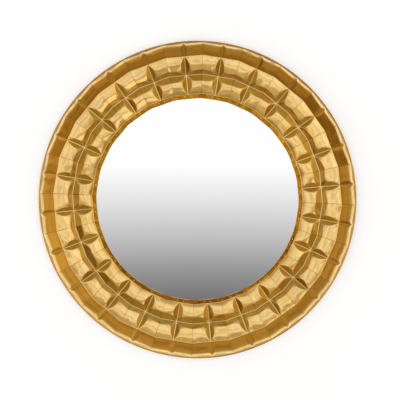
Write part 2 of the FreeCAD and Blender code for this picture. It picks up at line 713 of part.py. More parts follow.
def make_lip_pins():
    """Two round-headed pins beside each fold, through the lip into the core."""
    shank = doc.addObject("Part::Cylinder", "pin_shank")
    shank.setExpression("Radius", "Sizes.pin_radius")
    shank.setExpression("Height", "Sizes.pin_length")
    head = doc.addObject("Part::Cone", "pin_head")
    head.setExpression("Radius1", "Sizes.pin_crown_radius")
    head.setExpression("Radius2", "Sizes.pin_head_radius")
    head.setExpression("Height", "Sizes.pin_head_height")
    head.setExpression("Placement.Base.z", "-Sizes.pin_head_height")
    single = doc.addObject("Part::Fuse", "single_pin")
    single.Base = shank
    single.Tool = head
    doc.recompute()
    pins = []
    count = int(value("Sizes.panel_count"))
    for number in range(count):
        for side in (-1, 1):
            pin = doc.addObject("Part::Compound", "pin_%02d_%d" % (number + 1, side + 2))
            pin.Links = [single]
            place_pin(pin, side, "Sizes.pin_head_clearance")
            angle = value("Sizes.first_panel_angle") + number * 360.0 / count
            pin.Placement = ring_turn(angle).multiply(pin.Placement)
            pins.append(pin)
    group = doc.addObject("Part::Compound", "lip_pins")
    group.Links = pins
    keep(group, "lip_pins")


# ---------------------------------------------------------------- hangers

def cylinder_along_x(name, radius, length):
    item = doc.addObject("Part::Cylinder", name)
    item.setExpression("Radius", radius)
    item.setExpression("Height", length)
    item.Placement = FreeCAD.Placement(V(0, 0, 0), FreeCAD.Rotation(V(0, 1, 0), 90))
    item.setExpression("Placement.Base.x", "-(%s) / 2" % length)
    return item


def strap_shape(name):
    """A strap curled round the ring's bar, flat on the back ring below it, with two bores."""
    curl = cylinder_along_x(name + "_curl", "Places.curl_radius", "Sizes.strap_width")
    leaf = doc.addObject("Part::Box", name + "_leaf")
    leaf.setExpression("Length", "Sizes.strap_width")
    leaf.setExpression("Width", "Sizes.strap_thickness")
    leaf.setExpression("Height", "Sizes.strap_length")
    leaf.setExpression("Placement.Base.x", "-Sizes.strap_width / 2")
    leaf.setExpression("Placement.Base.y", "-Places.curl_radius")
    leaf.setExpression("Placement.Base.z", "-Sizes.strap_length")
    blank = doc.addObject("Part::Fuse", name + "_blank")
    blank.Base = curl
    blank.Tool = leaf
    through = "Sizes.strap_width + Sizes.cutter_overrun"
    tools = [cylinder_along_x(name + "_eye", "Places.curl_bore", through)]
    for drop in ("first", "second"):
        hole = doc.addObject("Part::Cylinder", "%s_%s_hole" % (name, drop))
        hole.setExpression("Radius", "Sizes.strap_screw_radius + Sizes.hole_clearance")
        hole.setExpression("Height", "Places.curl_radius")
        hole.Placement = FreeCAD.Placement(V(0, 0, 0), FreeCAD.Rotation(V(1, 0, 0), 90))
        hole.setExpression("Placement.Base.z", "-Sizes.strap_screw_" + drop)
        tools.append(hole)
    cutter = doc.addObject("Part::Compound", name + "_cutter")
    cutter.Links = tools
    strap = doc.addObject("Part::Cut", name)
    strap.Base = blank
    strap.Tool = cutter
    return strap


def ring_shape(name):
    """A D-shaped wire ring, hanging from its straight bar on the X axis."""
    body = new_body(name)
    path = sketch_on(body, "XZ_Plane", "path")
    half = value("Places.ring_half_bar")
    corner = value("Sizes.ring_corner_radius")
    bow_centre = -value("Places.ring_reach - Places.ring_half_bar")

    def arc(across, up, radius, start, finish):
        circle = Part.Circle(V(across, up, 0), V(0, 0, 1), radius)
        path.addGeometry(Part.ArcOfCircle(circle, start * math.pi, finish * math.pi), False)

    def line(start, finish):
        path.addGeometry(Part.LineSegment(V(*start, 0), V(*finish, 0)), False)

    line((corner - half, 0), (half - corner, 0))
    arc(half - corner, -corner, corner, 0, 0.5)
    line((half, -corner), (half, bow_centre))
    arc(0, bow_centre, half, 1, 2)
    line((-half, bow_centre), (-half, -corner))
    arc(corner - half, -corner, corner, 0.5, 1)
    for joint in ((0, 2, 1, 2), (1, 1, 2, 1), (2, 2, 3, 2), (3, 1, 4, 1), (4, 2, 5, 2),
                  (5, 1, 0, 1)):
        path.addConstraint(Sketcher.Constraint("Tangent", *joint))
    path.addConstraint(Sketcher.Constraint("PointOnObject", 0, 1, -1))
    path.addConstraint(Sketcher.Constraint("PointOnObject", 0, 2, -1))
    path.addConstraint(Sketcher.Constraint("Vertical", 2))
    path.addConstraint(Sketcher.Constraint("Vertical", 4))
    path.addConstraint(Sketcher.Constraint("PointOnObject", 3, 3, -2))
    for index, radius in ((1, "Sizes.ring_corner_radius"), (5, "Sizes.ring_corner_radius"),
                          (3, "Places.ring_half_bar")):
        bind(path, Sketcher.Constraint("Radius", index, value(radius)), radius)
    pin_along(path, "DistanceY", -1, 3, 3, "Places.ring_half_bar - Places.ring_reach")
    wire = sketch_on(body, "YZ_Plane", "wire")
    add_circle(wire, "0 * Sizes.wire_radius", "0 * Sizes.wire_radius", "Sizes.wire_radius")
    pipe = body.newObject("PartDesign::AdditivePipe", "bent_wire")
    pipe.Profile = wire
    pipe.Spine = (path, [])
    return body


def make_hangers():
    """A strap and a ring on each side of the back, above the middle."""
    for side, word in ((1, "left"), (-1, "right")):
        strap = strap_shape("hanger_strap_" + word)
        ring = ring_shape("hanger_ring_" + word)
        for item in (strap, ring):
            set_at(item, "%d * Sizes.hanger_across" % side, "Sizes.hanger_height",
                   "Places.hinge_height")
        keep(strap, "hanger_strap_" + word)
        keep(ring, "hanger_ring_" + word)
    make_strap_screws()


def make_strap_screws():
    """Pan-head screws through the straps into the back ring."""
    screws = []
    for side in (-1, 1):
        for drop in ("first", "second"):
            name = "strap_screw_%d_%s" % (side + 2, drop)
            shank = doc.addObject("Part::Cylinder", name + "_shank")
            shank.setExpression("Radius", "Sizes.strap_screw_radius")
            shank.setExpression("Height", "Sizes.strap_screw_length")
            head = doc.addObject("Part::Cone", name + "_head")
            head.setExpression("Radius1", "Sizes.strap_screw_head_radius")
            head.setExpression("Radius2", "Sizes.strap_screw_crown_radius")
            head.setExpression("Height", "Sizes.strap_screw_head_height")
            head.Placement = FreeCAD.Placement(V(0, 0, 0), FreeCAD.Rotation(V(1, 0, 0), 180))
            screw = doc.addObject("Part::Fuse", name)
            screw.Base = shank
            screw.Tool = head
            screw.Placement = FreeCAD.Placement(V(0, 0, 0), FreeCAD.Rotation(V(1, 0, 0), 90))
            set_at(screw, "%d * Sizes.hanger_across" % side,
                   "Sizes.hanger_height - Sizes.strap_screw_" + drop,
                   "Sizes.bumper_height - Sizes.strap_thickness")
            screws.append(screw)
    group = doc.addObject("Part::Compound", "strap_screws")
    group.Links = screws
    keep(group, "strap_screws")


# ---------------------------------------------------------------- build, test and write

def test_document():
    """Every object computed without error, and every sub-part is a sound solid."""
    for item in doc.Objects:
        states = [state for state in item.State if state in ("Invalid", "Error")]
        if states:
            raise RuntimeError("%s did not compute: %s" % (item.Label, item.State))
    for name, item in WHOLE.items():
        shape = item.Shape
        if shape.isNull() or not shape.isValid() or not shape.Solids:
            raise RuntimeError(name + " has no sound solid")


make_panels()
make_core_blocks()
make_back_ring()
make_rim_band()
make_glass()
make_packing()
make_back_board()
countersunk_screws("frame_screws", "frame_screw", "Places.frame_screw_circle", "Sizes.panel_count")
countersunk_screws("board_screws", "board_screw", "Places.pocket_radius + Sizes.board_ledge / 2",
                   "Sizes.board_screw_count")
make_bumpers()
make_lip_pins()
make_hangers()
doc.recompute()
test_document()
os.makedirs("parts", exist_ok=True)
for part_name, part_item in WHOLE.items():
    part_item.Shape.exportStep(os.path.join("parts", part_name + ".step"))
    box = part_item.Shape.BoundBox
    print("%-22s %3d solid %10.0f mm3  x %.1f..%.1f  y %.1f..%.1f  z %.1f..%.1f" % (
        part_name, len(part_item.Shape.Solids), part_item.Shape.Volume,
        box.XMin, box.XMax, box.YMin, box.YMax, box.ZMin, box.ZMax))
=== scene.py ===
import math

import bpy
import numpy as np
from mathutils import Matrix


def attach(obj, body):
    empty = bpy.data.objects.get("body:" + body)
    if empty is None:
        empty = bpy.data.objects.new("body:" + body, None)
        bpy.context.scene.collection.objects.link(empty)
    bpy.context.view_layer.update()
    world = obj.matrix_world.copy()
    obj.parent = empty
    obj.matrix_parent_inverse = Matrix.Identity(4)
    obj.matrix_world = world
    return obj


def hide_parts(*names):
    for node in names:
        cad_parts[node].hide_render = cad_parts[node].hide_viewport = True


# A round convex wall mirror in a frame of 24 pressed brass panels. The mirror faces -Y, +Z is up
# and the wall is the plane y = 0. Lengths here are millimetres and are turned into metres when a
# mesh is made. A height is a distance from the wall, so it lies along -Y. A panel is made in its
# own frame: x runs outward from the mirror's axis along the panel's fold, z across the panel.

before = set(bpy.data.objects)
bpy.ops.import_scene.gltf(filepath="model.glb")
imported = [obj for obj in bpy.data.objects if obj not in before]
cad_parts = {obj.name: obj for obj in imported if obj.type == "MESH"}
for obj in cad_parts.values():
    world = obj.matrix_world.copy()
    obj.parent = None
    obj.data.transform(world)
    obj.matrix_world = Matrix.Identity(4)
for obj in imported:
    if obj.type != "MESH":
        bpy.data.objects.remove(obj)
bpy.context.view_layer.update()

METRE = 0.001
ROOT = "root"

# ---------------------------------------------------------------- sizes in millimetres

PANEL_COUNT = 24
FIRST_PANEL_ANGLE = 5.4
HALF_TURN = math.radians(180 / PANEL_COUNT)
SIDE_FACTOR = math.cos(HALF_TURN)
MITRE_SLOPE = math.tan(HALF_TURN)

RIM_EDGE, RIM_HEIGHT = 444.4 * SIDE_FACTOR, 24.0
OUTER_CREST, OUTER_CREST_HEIGHT = 403.2 * SIDE_FACTOR, 65.0
MIDDLE_CREST, MIDDLE_CREST_HEIGHT = 348.1 * SIDE_FACTOR, 79.0
INNER_CREST, INNER_CREST_HEIGHT = 294.5 * SIDE_FACTOR, 70.0
SIGHT_RADIUS, SIGHT_HEIGHT = 283.4, 48.0

SHEET = 1.0
SEAM = 0.12
MITRE_DROP, MITRE_ROUNDING = 0.15, 0.6
CREST_ROUNDING = 0.55
CREST_LIMIT = MIDDLE_CREST_HEIGHT - 0.1
RING_FRONT = 20.0
RING_BACK = 8.0
FLANGE_TOP = 21.0

# The hem rolls over at the rim: how far it stands back from the edge and how far it goes down.
HEM_BACK = 0.65
HEM_ROLL = ((0.35, 0.25), (0.6, 0.8), (0.65, 1.8), (0.65, 3.9))
HEM_BASE = 21.2

# The core under the panels, its step over the band's flange and its rebate for the glass.
CORE_CLEARANCE = 1.5
CORE_STEP_RADIUS = 423.2
REBATE_RADIUS = 303.4
FLANGE_GAP, RING_GAP = 0.3, 0.02

# The rim band's section as radii and heights, and the waves of its hand-drawn edge, each with
# its count round the rim, its strength and its phase.
BAND_OUTLINE = ((449.85, RING_BACK), (445.5, 20.9), (423.7, 20.95), (423.7, 20.05),
                (444.4, RING_FRONT), (448.85, RING_BACK))
BAND_ROUNDING = 0.5
BAND_WAVES = ((7, 1.0, 1.0), (17, 0.7, 2.4), (31, 0.5, 0.3))
BAND_SHRINK, BAND_WAVE_HEIGHT = 0.12, 0.05

# The pressed flutes: slopes of the flanks of folds and crests in mm per mm, depths of the cells
# at their mitres and of the lens-shaped hollows beside the folds, and the sag of the floors. Near
# a node, where fold and crest cross, the floor is lifted.
FOLD_SLOPE = 0.85
CREST_SLOPE = {"middle": 1.1, "inner": 0.95}
CELL_DEPTH = {"middle": 11.0, "inner": 12.5}
LENS_DEPTH = 9.6
FLOOR_SAG = {"middle": 2.2, "inner": 2.0}
DISH_POWER = {"middle": 2.6, "inner": 3.0}
NODE_REACH, NODE_LIFT = 15.0, 0.62

# The outer flute: its short drop at the crest, its sag, the flat edge at the rim and the ear that
# the fold's outer end pulls out there.
DROP_WIDTH, DROP_DEPTH = 2.6, 6.0
OUTER_SAG = 3.4
EDGE_LIFT, EDGE_WIDTH = 1.2, 5.6
EAR_REACH, EAR_HALF_WIDTH, EAR_DEPTH, EAR_SHARPNESS = 3.6, 11.0, 8.0, 1.5

# How widely two surfaces blend where they meet.
DROP_BLEND, OUTER_FOLD_BLEND, CREST_BLEND, FOLD_BLEND, EDGE_BLEND = 0.5, 0.8, 0.8, 0.6, 0.4

# What hand tools leave: puckers inside the outer crest, given by their places inward from it and
# aside from the fold, shallow waves that fade out at the middle crest, and the ranges by which a
# panel's lines and crests differ.
PUCKER_PLACES = ((6.5, 8.5), (12.0, 14.5))
PUCKER_SIZE, PUCKER_DEPTH = 1.7, 0.9
WAVE_COUNT, WAVE_LENGTHS, WAVE_STEEPNESS = 7, (18, 60), 0.0042
EVEN_REACH = 6.0
PANEL_SEED = 400
QUIRK_RANGES = {"fold_shift": (-1.3, 1.3), "fold_skew": (-0.008, 0.008),
                "outer_shift": (-0.35, 0.35), "middle_shift": (-0.35, 0.35),
                "outer_drop": (0.0, 0.5), "middle_drop": (0.15, 0.6), "pucker": (0.2, 1.2)}
EVEN = dict.fromkeys(QUIRK_RANGES, 0.0) | {"middle_drop": 0.3, "waves": []}

# The lip from the inner crest down to the glass, and how many rows of points it has.
LIP_BULGE, LIP_LEAN = 0.32, 0.288
LIP_ROWS, CORE_LIP_ROWS = 16, 5

# Rows across the flutes are spaced by their length on a line this far from the fold, and are at
# their finest within the first of these distances from a crest.
ROW_LINE = 26.0
ROW_REACH = (2.5, 9.0)

# The painted shade and highlights on the brass: steepness in degrees that starts and ends the
# change from floor to painted flank shade, that of the lip and the hem, how strongly bends show
# as painted highlights on crests and painted shade in creases, and where regions fade: the fold's
# with the distance from it, the flank's outward from the middle crest, the hem's painted highlight
# outward from the start of the flat edge.
STEEP_RANGE = (16, 40)
LIP_STEEPNESS, HEM_STEEPNESS = 66.0, 80.0
CREST_GAIN, CREST_THRESHOLD, CREASE_GAIN = 2.0, 0.5, 1.4
FOLD_REGION, FLANK_REGION, HEM_REGION = (10.0, 13.0), (12.0, 16.0), (0.8, 2.4)
GRAIN_SHIFT = 0.37

GLASS_RADIUS = 300.0
GLASS_RISE = 30.0
GLASS_THICKNESS = 4.0
GLASS_BEVEL, GLASS_EDGE_DROP = 0.4, 0.5
GLASS_SIGHT_GAP = 0.3
GLASS_SEGMENTS = 256
GLASS_BEND = (GLASS_RADIUS ** 2 + GLASS_RISE ** 2) / (2 * GLASS_RISE)
GLASS_CENTRE = SIGHT_HEIGHT - GLASS_SIGHT_GAP - math.sqrt(GLASS_BEND ** 2 - SIGHT_RADIUS ** 2)


# ---------------------------------------------------------------- meshes

def make_mesh(name, points, faces, smooth=True):
    """An object from points in millimetres, given as x, height from the wall and z."""
    points = np.asarray(points, float)
    placed = np.column_stack([points[:, 0], -points[:, 1], points[:, 2]]) * METRE
    mesh = bpy.data.meshes.new(name)
    mesh.from_pydata(placed.tolist(), [], faces)
    mesh.validate()
    mesh.polygons.foreach_set("use_smooth", [smooth] * len(mesh.polygons))
    item = bpy.data.objects.new(name, mesh)
    bpy.context.scene.collection.objects.link(item)
    return item


def turn_points(points, angle):
    """Points turned counter-clockwise about the mirror's axis, as seen from the front."""
    cosine, sine = math.cos(angle), math.sin(angle)
    x, height, z = points[:, 0], points[:, 1], points[:, 2]
    return np.column_stack([x * cosine - z * sine, height, x * sine + z * cosine])


def grid_faces(rows, columns, offset=0, flip=False, closed=False):
    """Quads of a grid stored row by row; closed joins its last column to its first."""
    faces = []
    for row in range(rows - 1):
        for column in range(columns if closed else columns - 1):
            following = (column + 1) % columns
            a = offset + row * columns + column
            b = offset + row * columns + following
            c = offset + (row + 1) * columns + following
            d = offset + (row + 1) * columns + column
            faces.append((a, d, c, b) if flip else (a, b, c, d))
    return faces


def mark(item, name, values):
    """A number or a vector for every point of a mesh, for its material to read."""
    values = np.asarray(values, np.float32)
    kind = "FLOAT" if values.ndim == 1 else "FLOAT_VECTOR"
    layer = item.data.attributes.new(name, kind, "POINT")
    layer.data.foreach_set("value" if kind == "FLOAT" else "vector", values.ravel())


def smooth_step(low, high, amount):
    """From 0 at low to 1 at high, eased at both ends."""
    share = np.clip((amount - low) / (high - low), 0, 1)
    return share * share * (3 - 2 * share)


def smooth_max(first, second, blend):
    """The higher of two heights, with the angle between them rounded and never raised."""
    return (first + second + np.sqrt((first - second) ** 2 + blend ** 2) - blend) / 2


# ---------------------------------------------------------------- the pressed form of a panel

def outer_floor(x, outer_x, outer_height):
    """The outer flute beside its fold: a short drop at the crest, then a straight slope."""
    drop = outer_height - DROP_DEPTH * np.clip((x - outer_x) / DROP_WIDTH, 0, None)
    foot_x, foot_height = RIM_EDGE - EDGE_WIDTH, RIM_HEIGHT + EDGE_LIFT
    start_x, start_height = outer_x + DROP_WIDTH, outer_height - DROP_DEPTH
    fall = (start_height - foot_height) / (foot_x - start_x)
    along = np.clip((x - start_x) / (foot_x - start_x), 0, 1)
    slope = start_height - fall * (x - start_x) - OUTER_SAG * 4 * along * (1 - along)
    return smooth_max(drop, slope, DROP_BLEND)


def flute_height(x, side, across, low, high, kind):
    """One flute's dish, from its high crest to its low crest, with its fold and crest flanks.

    side is the share of the way from the fold to the mitre, across the distance in mm.
    """
    (low_x, low_height), (high_x, high_height) = low, high
    share = (x - high_x) / (low_x - high_x)
    chord = high_height + (low_height - high_height) * share
    inside = np.clip(share, 0, 1)
    spread = 1 - (1 - side) ** 2
    if kind == "outer":
        floor = outer_floor(x, high_x, high_height)
        return smooth_max(floor, chord - FOLD_SLOPE * across, OUTER_FOLD_BLEND)
    dish = CELL_DEPTH[kind] * (1 - inside ** DISH_POWER[kind])
    dish = dish + FLOOR_SAG[kind] * 4 * inside * (1 - inside)
    lens = LENS_DEPTH * 4 * inside * (1 - inside)
    from_node = np.hypot(x - high_x, across) / NODE_REACH
    lift = 1 - NODE_LIFT * np.exp(-from_node ** 2)
    floor = chord - (dish * spread + lens * (1 - spread)) * lift
    flank = high_height - CREST_SLOPE[kind] * np.abs(x - high_x)
    floor = smooth_max(floor, flank, CREST_BLEND)
    return smooth_max(floor, chord - FOLD_SLOPE * across, FOLD_BLEND)


def raw_height(x, z, quirk):
    """Height of the pressed sheet before its crests and creases are rounded off."""
    fold_line = quirk["fold_shift"] + quirk["fold_skew"] * (x - MIDDLE_CREST)
    across = np.abs(z - fold_line)
    half = x * MITRE_SLOPE
    side = np.clip(across / np.maximum(half - np.sign(z) * fold_line, 1), 0, 1)
    outer_x = OUTER_CREST + quirk["outer_shift"]
    middle_x = MIDDLE_CREST + quirk["middle_shift"]
    inner_x = INNER_CREST
    rim = (RIM_EDGE, RIM_HEIGHT)
    outer = (outer_x, OUTER_CREST_HEIGHT - quirk["outer_drop"])
    middle = (middle_x, MIDDLE_CREST_HEIGHT - quirk["middle_drop"])
    inner = (inner_x, INNER_CREST_HEIGHT)
    height = np.where(
        x > outer_x, flute_height(x, side, across, rim, outer, "outer"),
        np.where(x > middle_x, flute_height(x, side, across, outer, middle, "middle"),
                 flute_height(x, side, across, inner, middle, "inner")))
    edged = smooth_max(height, np.full_like(height, RIM_HEIGHT + EDGE_LIFT), EDGE_BLEND)
    height = np.where(x > outer_x, edged, height)
    for inward, aside in PUCKER_PLACES:
        near = ((x - outer_x + inward) / PUCKER_SIZE) ** 2 + (
            (across - aside) / PUCKER_SIZE) ** 2
        height = height - PUCKER_DEPTH * quirk["pucker"] * np.exp(-near)
    fall = (INNER_CREST_HEIGHT - SIGHT_HEIGHT) / (INNER_CREST - SIGHT_RADIUS)
    return np.where(x < inner_x, INNER_CREST_HEIGHT - fall * (inner_x - x), height)


def dents(x, z, quirk):
    """Shallow unevenness left by the hand tools, as a sum of a few long waves."""
    total = np.zeros_like(x)
    for across, along, phase, depth in quirk["waves"]:
        total += depth * np.sin(x * across + z * along + phase)
    return total


def sheet_height(x, z, quirk):
    """The pressed form with its crests and creases rounded off by a small weighted mean."""
    steps = np.array([-1.6, -0.8, 0.0, 0.8, 1.6]) * CREST_ROUNDING
    weights = np.exp(-(steps / CREST_ROUNDING) ** 2 / 1.6)
    weights /= weights.sum()
    total = np.zeros_like(x)
    for step_x, weight_x in zip(steps, weights):
        for step_z, weight_z in zip(steps, weights):
            total += weight_x * weight_z * raw_height(x + step_x, z + step_z, quirk)
    half = x * MITRE_SLOPE
    edge = np.exp(-((half - np.abs(z)) / MITRE_ROUNDING) ** 2)
    worked = 1 - np.exp(-((x - MIDDLE_CREST) / EVEN_REACH) ** 2)
    height = total + dents(x, z, quirk) * worked - MITRE_DROP * edge
    return np.minimum(height, CREST_LIMIT)


def panel_quirk(random):
    """What hand work makes different from one panel to the next."""
    waves = []
    for _ in range(WAVE_COUNT):
        length = random.uniform(*WAVE_LENGTHS)
        turn = random.uniform(0, math.pi)
        pace = 2 * math.pi / length
        phase = random.uniform(0, 2 * math.pi)
        waves.append((pace * math.cos(turn), pace * math.sin(turn), phase,
                      WAVE_STEEPNESS * length))
    quirk = {name: random.uniform(*span) for name, span in QUIRK_RANGES.items()}
    return quirk | {"waves": waves}


def row_places(fine, coarse):
    """Places of the rows from the inner crest to the rim, closer together at the crests."""
    x = np.linspace(INNER_CREST, RIM_EDGE, 3000)
    height = sheet_height(x, np.full_like(x, ROW_LINE), EVEN)
    length = np.hypot(np.gradient(x), np.gradient(height))
    crests = (INNER_CREST, MIDDLE_CREST, OUTER_CREST, RIM_EDGE)
    near = np.min([np.abs(x - crest) for crest in crests], axis=0)
    wanted = fine + (coarse - fine) * smooth_step(*ROW_REACH, near)
    total = np.cumsum(length / wanted)
    count = int(math.ceil(total[-1]))
    return np.interp(np.linspace(0, total[-1], count + 1), total, x)


def column_shares(steps):
    """Shares of the half width, from one mitre to the other, closer together at the fold."""
    half = np.cumsum([0.0] + steps)
    half /= half[-1]
    return np.concatenate([-half[:0:-1], half])


# Steps in mm from the fold to the mitre: short at both, longer between them.
FINE_COLUMNS = column_shares([0.7] * 5 + [1.1] * 3 + [1.5] * 8 + [2.2] * 3 + [3.0] * 5
                             + [1.8, 1.0] + [0.6] * 2)
COARSE_COLUMNS = column_shares([2.0] * 3 + [4.0] * 4 + [6.0] * 4)


def panel_grid(quirk, rows, shares, lip_rows):
    """Points of the sheet's outer face: lip, three flutes and the rolled hem, row by row."""
    half = rows * MITRE_SLOPE - SEAM / 2 / SIDE_FACTOR
    x = np.repeat(rows[:, None], len(shares), axis=1)
    z = half[:, None] * shares[None, :]
    height = sheet_height(x, z, quirk)
    pull = smooth_step(RIM_EDGE - EAR_DEPTH, RIM_EDGE, x)
    ear = np.clip(1 - np.abs(z - quirk["fold_shift"]) / EAR_HALF_WIDTH, 0, 1) ** EAR_SHARPNESS
    x = x + EAR_REACH * ear * pull
    crest_x, crest_z, crest_height = x[0], z[0], height[0]
    bearing = np.arctan2(crest_z, crest_x)
    sight_x, sight_z = SIGHT_RADIUS * np.cos(bearing), SIGHT_RADIUS * np.sin(bearing)
    lip = []
    for share in np.linspace(1, 0, lip_rows, endpoint=False):
        bulge = math.sin(math.pi * share) ** 2
        lip.append(np.stack([
            crest_x + (sight_x - crest_x) * share - LIP_LEAN * bulge * np.cos(bearing),
            crest_height + (SIGHT_HEIGHT - crest_height) * share + LIP_BULGE * bulge,
            crest_z + (sight_z - crest_z) * share], axis=-1))
    main = np.stack([x, height, z], axis=-1)
    hem = []
    for out, down in HEM_ROLL:
        edge = main[-1].copy()
        edge[:, 0] += out - HEM_BACK
        edge[:, 1] = np.maximum(edge[:, 1] - down, HEM_BASE)
        hem.append(edge)
    main[-1, :, 0] -= HEM_BACK
    return np.concatenate([np.array(lip), main, np.array(hem)])


def slope_and_bend(rows, shares, quirk):
    """Steepness in degrees and the curving of the sheet at the main rows, for its painted shade
    and highlights.
    """
    half = rows * MITRE_SLOPE
    x = np.repeat(rows[:, None], len(shares), axis=1)
    z = half[:, None] * shares[None, :]
    step = 0.8
    here = sheet_height(x, z, quirk)
    east, west = sheet_height(x + step, z, quirk), sheet_height(x - step, z, quirk)
    north, south = sheet_height(x, z + step, quirk), sheet_height(x, z - step, quirk)
    slope = np.degrees(np.arctan(np.hypot(east - west, north - south) / (2 * step)))
    bend = (east + west + north + south - 4 * here) / step ** 2
    return slope, bend


def mark_painted_light(panel, grid, rows, quirk):
    """Masks for the brass's painted shade and highlights: steepness, crests, creases and regions.
    """
    count_rows, count_columns = grid.shape[:2]
    hem_rows = count_rows - LIP_ROWS - len(rows)
    slope, bend = slope_and_bend(rows, FINE_COLUMNS, quirk)
    steep = np.concatenate([np.full((LIP_ROWS, count_columns), LIP_STEEPNESS), slope,
                            np.full((hem_rows, count_columns), HEM_STEEPNESS)])
    curve = np.concatenate([np.zeros((LIP_ROWS, count_columns)), bend,
                            np.zeros((hem_rows, count_columns))])
    lip = np.concatenate([np.ones((LIP_ROWS, count_columns)),
                          np.zeros((len(rows) + hem_rows, count_columns))])
    x = grid[:, :, 0]
    across = np.abs(grid[:, :, 2] - quirk["fold_shift"])
    # Sharp bends get the crest mask for a painted highlight, weaker beyond the outer crest.
    crest = np.clip(-curve * CREST_GAIN - CREST_THRESHOLD, 0, 1)
    crest[LIP_ROWS:] *= np.where(x[LIP_ROWS:] > OUTER_CREST + 2.0, 0.25, 1.0)
    beyond = smooth_step(OUTER_CREST, OUTER_CREST + 1.5, x)
    beside = 1 - smooth_step(*FOLD_REGION, across)
    outward = x - MIDDLE_CREST
    flank = smooth_step(0.0, 1.0, outward) * (1 - smooth_step(*FLANK_REGION, outward))
    edge_start = RIM_EDGE - EDGE_WIDTH
    # steep, crease, lip, rim, fold and flank place painted shade; crest and hem place painted
    # highlights.
    marks = {
        "steep": smooth_step(*STEEP_RANGE, steep),
        "crest": crest,
        "crease_shade": np.clip(curve * CREASE_GAIN, 0, 1),
        "lip": lip,
        "rim": beyond,
        "hem": smooth_step(edge_start + HEM_REGION[0], edge_start + HEM_REGION[1], x),
        "fold": beside * (1 - beyond),
        "flank": flank * (1 - beside),
    }
    for name, values in marks.items():
        mark(panel, name, values.ravel())


def make_panel(number, rows, material):
    """One pressed brass panel with its lip, fold, ear and hem, as a sheet of real thickness."""
    random = np.random.default_rng(PANEL_SEED + number)
    quirk = panel_quirk(random)
    grid = panel_grid(quirk, rows, FINE_COLUMNS, LIP_ROWS)
    count_rows, count_columns = grid.shape[:2]
    local = grid.reshape(-1, 3)
    angle = math.radians(FIRST_PANEL_ANGLE) + number * 2 * HALF_TURN
    name = "pressed_panel_%02d" % (number + 1)
    faces = grid_faces(count_rows, count_columns, flip=True)
    panel = make_mesh(name, turn_points(local, angle), faces)
    mark_painted_light(panel, grid, rows, quirk)
    mark(panel, "tone", np.full(len(local), random.uniform(-1, 1)))
    apart = np.full(len(local), GRAIN_SHIFT * number)
    mark(panel, "sheet_place", np.column_stack([local[:, 0] * METRE, local[:, 2] * METRE, apart]))
    sheet = panel.modifiers.new("sheet", "SOLIDIFY")
    sheet.thickness = SHEET * METRE
    sheet.offset = -1
    panel.data.materials.append(material)
    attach(panel, ROOT)
    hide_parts("cladding_panel_%02d" % (number + 1))


def make_core(number, rows, material):
    """One glued-up block of the wooden core, carved to carry two panels."""
    strips = []
    for half_block in (0, 1):
        index = 2 * number + half_block
        quirk = panel_quirk(np.random.default_rng(PANEL_SEED + index))
        grid = panel_grid(quirk, rows, COARSE_COLUMNS, CORE_LIP_ROWS)[:-len(HEM_ROLL)]
        across = np.gradient(grid, axis=1)
        along = np.gradient(grid, axis=0)
        normal = np.cross(along, across)
        normal /= np.linalg.norm(normal, axis=-1)[..., None]
        normal *= np.sign(normal[..., 1:2] + 1e-9)
        block = grid - normal * CORE_CLEARANCE
        block[-1, :, 0] -= CORE_CLEARANCE
        turned = turn_points(block.reshape(-1, 3), (half_block - 0.5) * 2 * HALF_TURN)
        turned = turned.reshape(block.shape)
        strips.append(turned if half_block == 0 else turned[:, 1:])
    top = np.concatenate(strips, axis=1)
    low = top.copy()
    reach = np.hypot(low[..., 0], low[..., 2])
    low[..., 1] = np.where(reach > CORE_STEP_RADIUS, FLANGE_TOP + FLANGE_GAP,
                           RING_FRONT + RING_GAP)
    stretch = np.maximum(REBATE_RADIUS / reach[0], 1.0)
    low[0, :, 0] *= stretch
    low[0, :, 2] *= stretch
    count_rows, count_columns = top.shape[:2]
    total = count_rows * count_columns
    points = np.concatenate([top.reshape(-1, 3), low.reshape(-1, 3)])
    faces = grid_faces(count_rows, count_columns)
    faces += grid_faces(count_rows, count_columns, offset=total, flip=True)
    border = (list(range(count_columns))
              + [row * count_columns + count_columns - 1 for row in range(1, count_rows)]
              + [(count_rows - 1) * count_columns + column
                 for column in range(count_columns - 2, -1, -1)]
              + [row * count_columns for row in range(count_rows - 2, 0, -1)])
    for index, here in enumerate(border):
        following = border[(index + 1) % len(border)]
        faces.append((following, here, here + total, following + total))
    angle = math.radians(FIRST_PANEL_ANGLE) + (4 * number + 1) * HALF_TURN
    core = make_mesh("carved_core_%02d" % (number + 1), turn_points(points, angle), faces,
                     smooth=False)
    core.data.materials.append(material)
    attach(core, ROOT)
    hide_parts("core_block_%02d" % (number + 1))


# ---------------------------------------------------------------- turned pieces

def make_turned(name, profile, segments, closed_profile=True, waver=None):
    """A ring or disc turned about the mirror's axis from radii and heights."""
    profile = np.asarray(profile, float)
    angles = np.linspace(0, 2 * math.pi, segments, endpoint=False)
    points = []
    for radius, height in profile:
        ring = np.full(segments, radius)
        if waver is not None:
            ring = ring + waver(angles, height)
        points.append(np.column_stack([ring * np.cos(angles), np.full(segments, height),
                                       ring * np.sin(angles)]))
    count = len(profile)
    faces = grid_faces(count, segments, closed=True)
    if closed_profile:
        for column in range(segments):
            following = (column + 1) % segments
            last = (count - 1) * segments
            faces.append((last + column, last + following, following, column))
    return make_mesh(name, np.concatenate(points), faces)


def rounded(corners, radius, steps=3):
    """A closed outline with each corner rounded off by a short curve."""
    corners = [np.array(corner, float) for corner in corners]
    outline = []
    count = len(corners)
    for index, corner in enumerate(corners):
        before, after = corners[index - 1], corners[(index + 1) % count]
        to_before = (before - corner) / np.linalg.norm(before - corner)
        to_after = (after - corner) / np.linalg.norm(after - corner)
        reach = min(radius, np.linalg.norm(before - corner) / 2.2,
                    np.linalg.norm(after - corner) / 2.2)
        start, finish = corner + to_before * reach, corner + to_after * reach
        for step in range(steps + 1):
            share = step / steps
            outline.append((1 - share) ** 2 * start + 2 * share * (1 - share) * corner
                           + share ** 2 * finish)
    return outline


